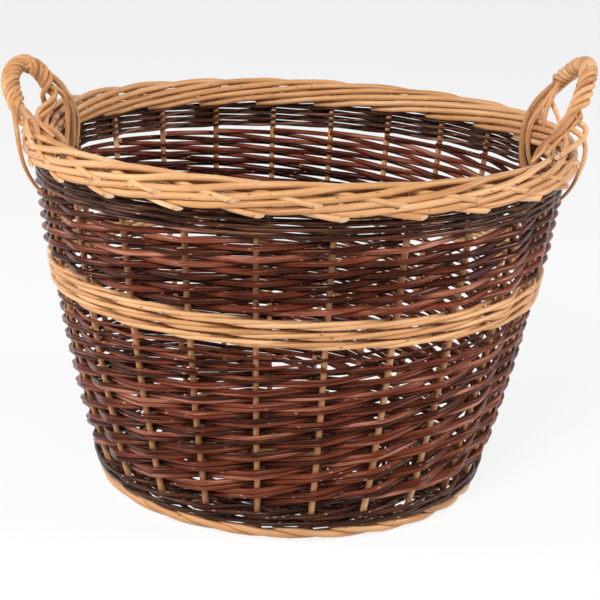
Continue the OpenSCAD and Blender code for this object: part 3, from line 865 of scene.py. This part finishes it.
lower = (UPSETT_TOP + SEAT_GAP, BAND_Z - SEAT_GAP, LOWER_PASSES, LOWER_THINNING, 2)
lay_rods("lower_siding_first_willow", siding_rods(*lower, -0.5, LOWER_PASSES, 500), BROWN,
         ["lower_siding_first_rods"], sides=12, seed=8)
lay_rods("lower_siding_second_willow", siding_rods(*lower, 0.5, LOWER_PASSES - SECOND_RODS_SHORT, 600),
         BROWN, ["lower_siding_second_rods"], sides=12, seed=9)
for k in range(BAND_ROUNDS):
    band = wale_rods(BAND_Z + k * BAND_ROUND_H, BAND_ROUND_H, 60 + 5 * k, wander=0.5)
    lay_rods("middle_band_round_%d_willow" % (k + 1), band, BUFF,
             ["middle_band_round_%d" % (k + 1)], sides=12, seed=10 + k)
upper = (BAND_TOP + SEAT_GAP, TOP_WALE_Z - SEAT_GAP, UPPER_PASSES, UPPER_THINNING, 1)
lay_rods("upper_siding_willow", siding_rods(*upper, 0, UPPER_PASSES, 700), BROWN,
         ["upper_siding"], sides=12, seed=14)

top_wale = []
for k in range(TOP_WALE_ROUNDS):
    low_z = TOP_WALE_Z + k * TOP_WALE_ROUND_H
    top_wale += wale_rods(low_z, TOP_WALE_ROUND_H, 80 + 5 * k, rod_share=1.06, wander=0.25)
lay_rods("top_wale_round_1_willow", top_wale, DARK, ["top_wale"], sides=10, seed=15)
lay_rods("top_border_willow", border_rods() + border_ends(), BUFF, ["top_border"],
         sides=14, seed=16)

for side, handle in HANDLES.items():
    seed = handle["seed"]
    bow = [Rod(smooth(at_places(handle["bow"]), 3), BOW_R)]
    rope = rope_rods(handle["rope"], handle["turns"], handle["first_ends"], handle["last_ends"], seed)
    lay_rods(side + "_handle_bow_willow", bow, DEEP_BUFF, [side + "_handle_bow"],
             sides=14, seed=seed)
    lay_rods(side + "_handle_rope_willow", rope, BUFF,
             [side + "_handle_rope", side + "_handle_tails"], sides=14, seed=seed + 1)


# Studio
# Places and sizes here are metres, the camera's turns degrees and its sensor millimetres.
FLOOR_HALF = 30
FLOOR_COLOUR = (0.86, 0.86, 0.86, 1)
WHITE = (1, 1, 1, 1)
FLOOR_WHITE_SHARE = 0.84
WORLD_LIGHT = 0.1
LAMPS = {
    "left": dict(at=(-2.4, -0.5, 1.4), size=0.8, energy=46),
    "right": dict(at=(2.4, -0.4, 1.4), size=0.8, energy=48),
    "front": dict(at=(-0.5, -2.3, 2.1), size=0.7, energy=66),
}
LAMPS_AIM = (0, 0, 0.2)
CAMERA_AT = (0.00639, -1.7098, 0.69654)
CAMERA_DOWN = 16.73
CAMERA_ROLL = 2.41
CAMERA_SENSOR = 36
PHOTO_PIXELS = 600
FOCAL_PIXELS = 1725.68


def studio_floor():
    """A floor that looks white to the camera and keeps a soft shadow."""
    mesh = bpy.data.meshes.new("studio_floor")
    corners = [(x * FLOOR_HALF, y * FLOOR_HALF, 0) for x, y in ((-1, -1), (1, -1), (1, 1), (-1, 1))]
    mesh.from_pydata(corners, [], [(0, 1, 2, 3)])
    floor = bpy.data.objects.new("studio_floor", mesh)
    bpy.context.scene.collection.objects.link(floor)
    pale = bpy.data.materials.new("Studio floor")
    pale.use_nodes = True
    pale.node_tree.nodes.clear()
    make = NodeMaker(pale.node_tree)
    diffuse, glow = make.add("ShaderNodeBsdfDiffuse"), make.add("ShaderNodeEmission")
    diffuse.inputs["Color"].default_value = FLOOR_COLOUR
    glow.inputs["Color"].default_value = WHITE
    glow.inputs["Strength"].default_value = 1
    rays, mix = make.add("ShaderNodeLightPath"), make.add("ShaderNodeMixShader")
    seen = make.maths("MAXIMUM", rays.outputs["Is Camera Ray"], rays.outputs["Is Glossy Ray"])
    make.links.new(make.maths("MULTIPLY", seen, FLOOR_WHITE_SHARE), mix.inputs[0])
    make.links.new(diffuse.outputs[0], mix.inputs[1])
    make.links.new(glow.outputs[0], mix.inputs[2])
    make.links.new(mix.outputs[0], make.add("ShaderNodeOutputMaterial").inputs[0])
    mesh.materials.append(pale)


def studio_world():
    """White where it is seen, and a faint even light on the basket."""
    world = bpy.data.worlds.new("Studio")
    bpy.context.scene.world = world
    world.use_nodes = True
    world.node_tree.nodes.clear()
    make = NodeMaker(world.node_tree)
    rays = make.add("ShaderNodeLightPath")
    seen = make.maths("MAXIMUM", rays.outputs["Is Camera Ray"], rays.outputs["Is Glossy Ray"])
    seen = make.maths("MAXIMUM", seen, rays.outputs["Is Transmission Ray"])
    back, strength = make.add("ShaderNodeBackground"), make.add("ShaderNodeMapRange")
    strength.inputs["To Min"].default_value = WORLD_LIGHT
    strength.inputs["To Max"].default_value = 1
    make.links.new(seen, strength.inputs["Value"])
    back.inputs["Color"].default_value = WHITE
    make.links.new(strength.outputs[0], back.inputs["Strength"])
    make.links.new(back.outputs[0], make.add("ShaderNodeOutputWorld").inputs[0])


def studio_lamps():
    for name, lamp in LAMPS.items():
        light = bpy.data.lights.new(name, "AREA")
        light.shape, light.size, light.energy = "SQUARE", lamp["size"], lamp["energy"]
        holder = bpy.data.objects.new(name, light)
        bpy.context.scene.collection.objects.link(holder)
        holder.location = lamp["at"]
        aim = Vector(LAMPS_AIM) - Vector(lamp["at"])
        holder.rotation_euler = aim.to_track_quat("-Z", "Y").to_euler()


def photo_camera():
    """The camera that fits the rings of the rim, the band and the foot in the photograph."""
    down, roll = math.radians(CAMERA_DOWN), math.radians(CAMERA_ROLL)
    ahead = Vector((0, math.cos(down), -math.sin(down)))
    right, up = Vector((1, 0, 0)), Vector((0, math.sin(down), math.cos(down)))
    x = right * math.cos(roll) + up * math.sin(roll)
    y = up * math.cos(roll) - right * math.sin(roll)
    lens = bpy.data.cameras.new("photo_camera")
    lens.sensor_width = CAMERA_SENSOR
    lens.lens = FOCAL_PIXELS / PHOTO_PIXELS * CAMERA_SENSOR
    camera = bpy.data.objects.new("photo_camera", lens)
    bpy.context.scene.collection.objects.link(camera)
    rows = [(x[i], y[i], -ahead[i], CAMERA_AT[i]) for i in range(3)]
    camera.matrix_world = Matrix((*rows, (0, 0, 0, 1)))
    bpy.context.scene.camera = camera


bpy.context.scene.view_settings.view_transform = "Standard"
studio_floor()
studio_world()
studio_lamps()
photo_camera()
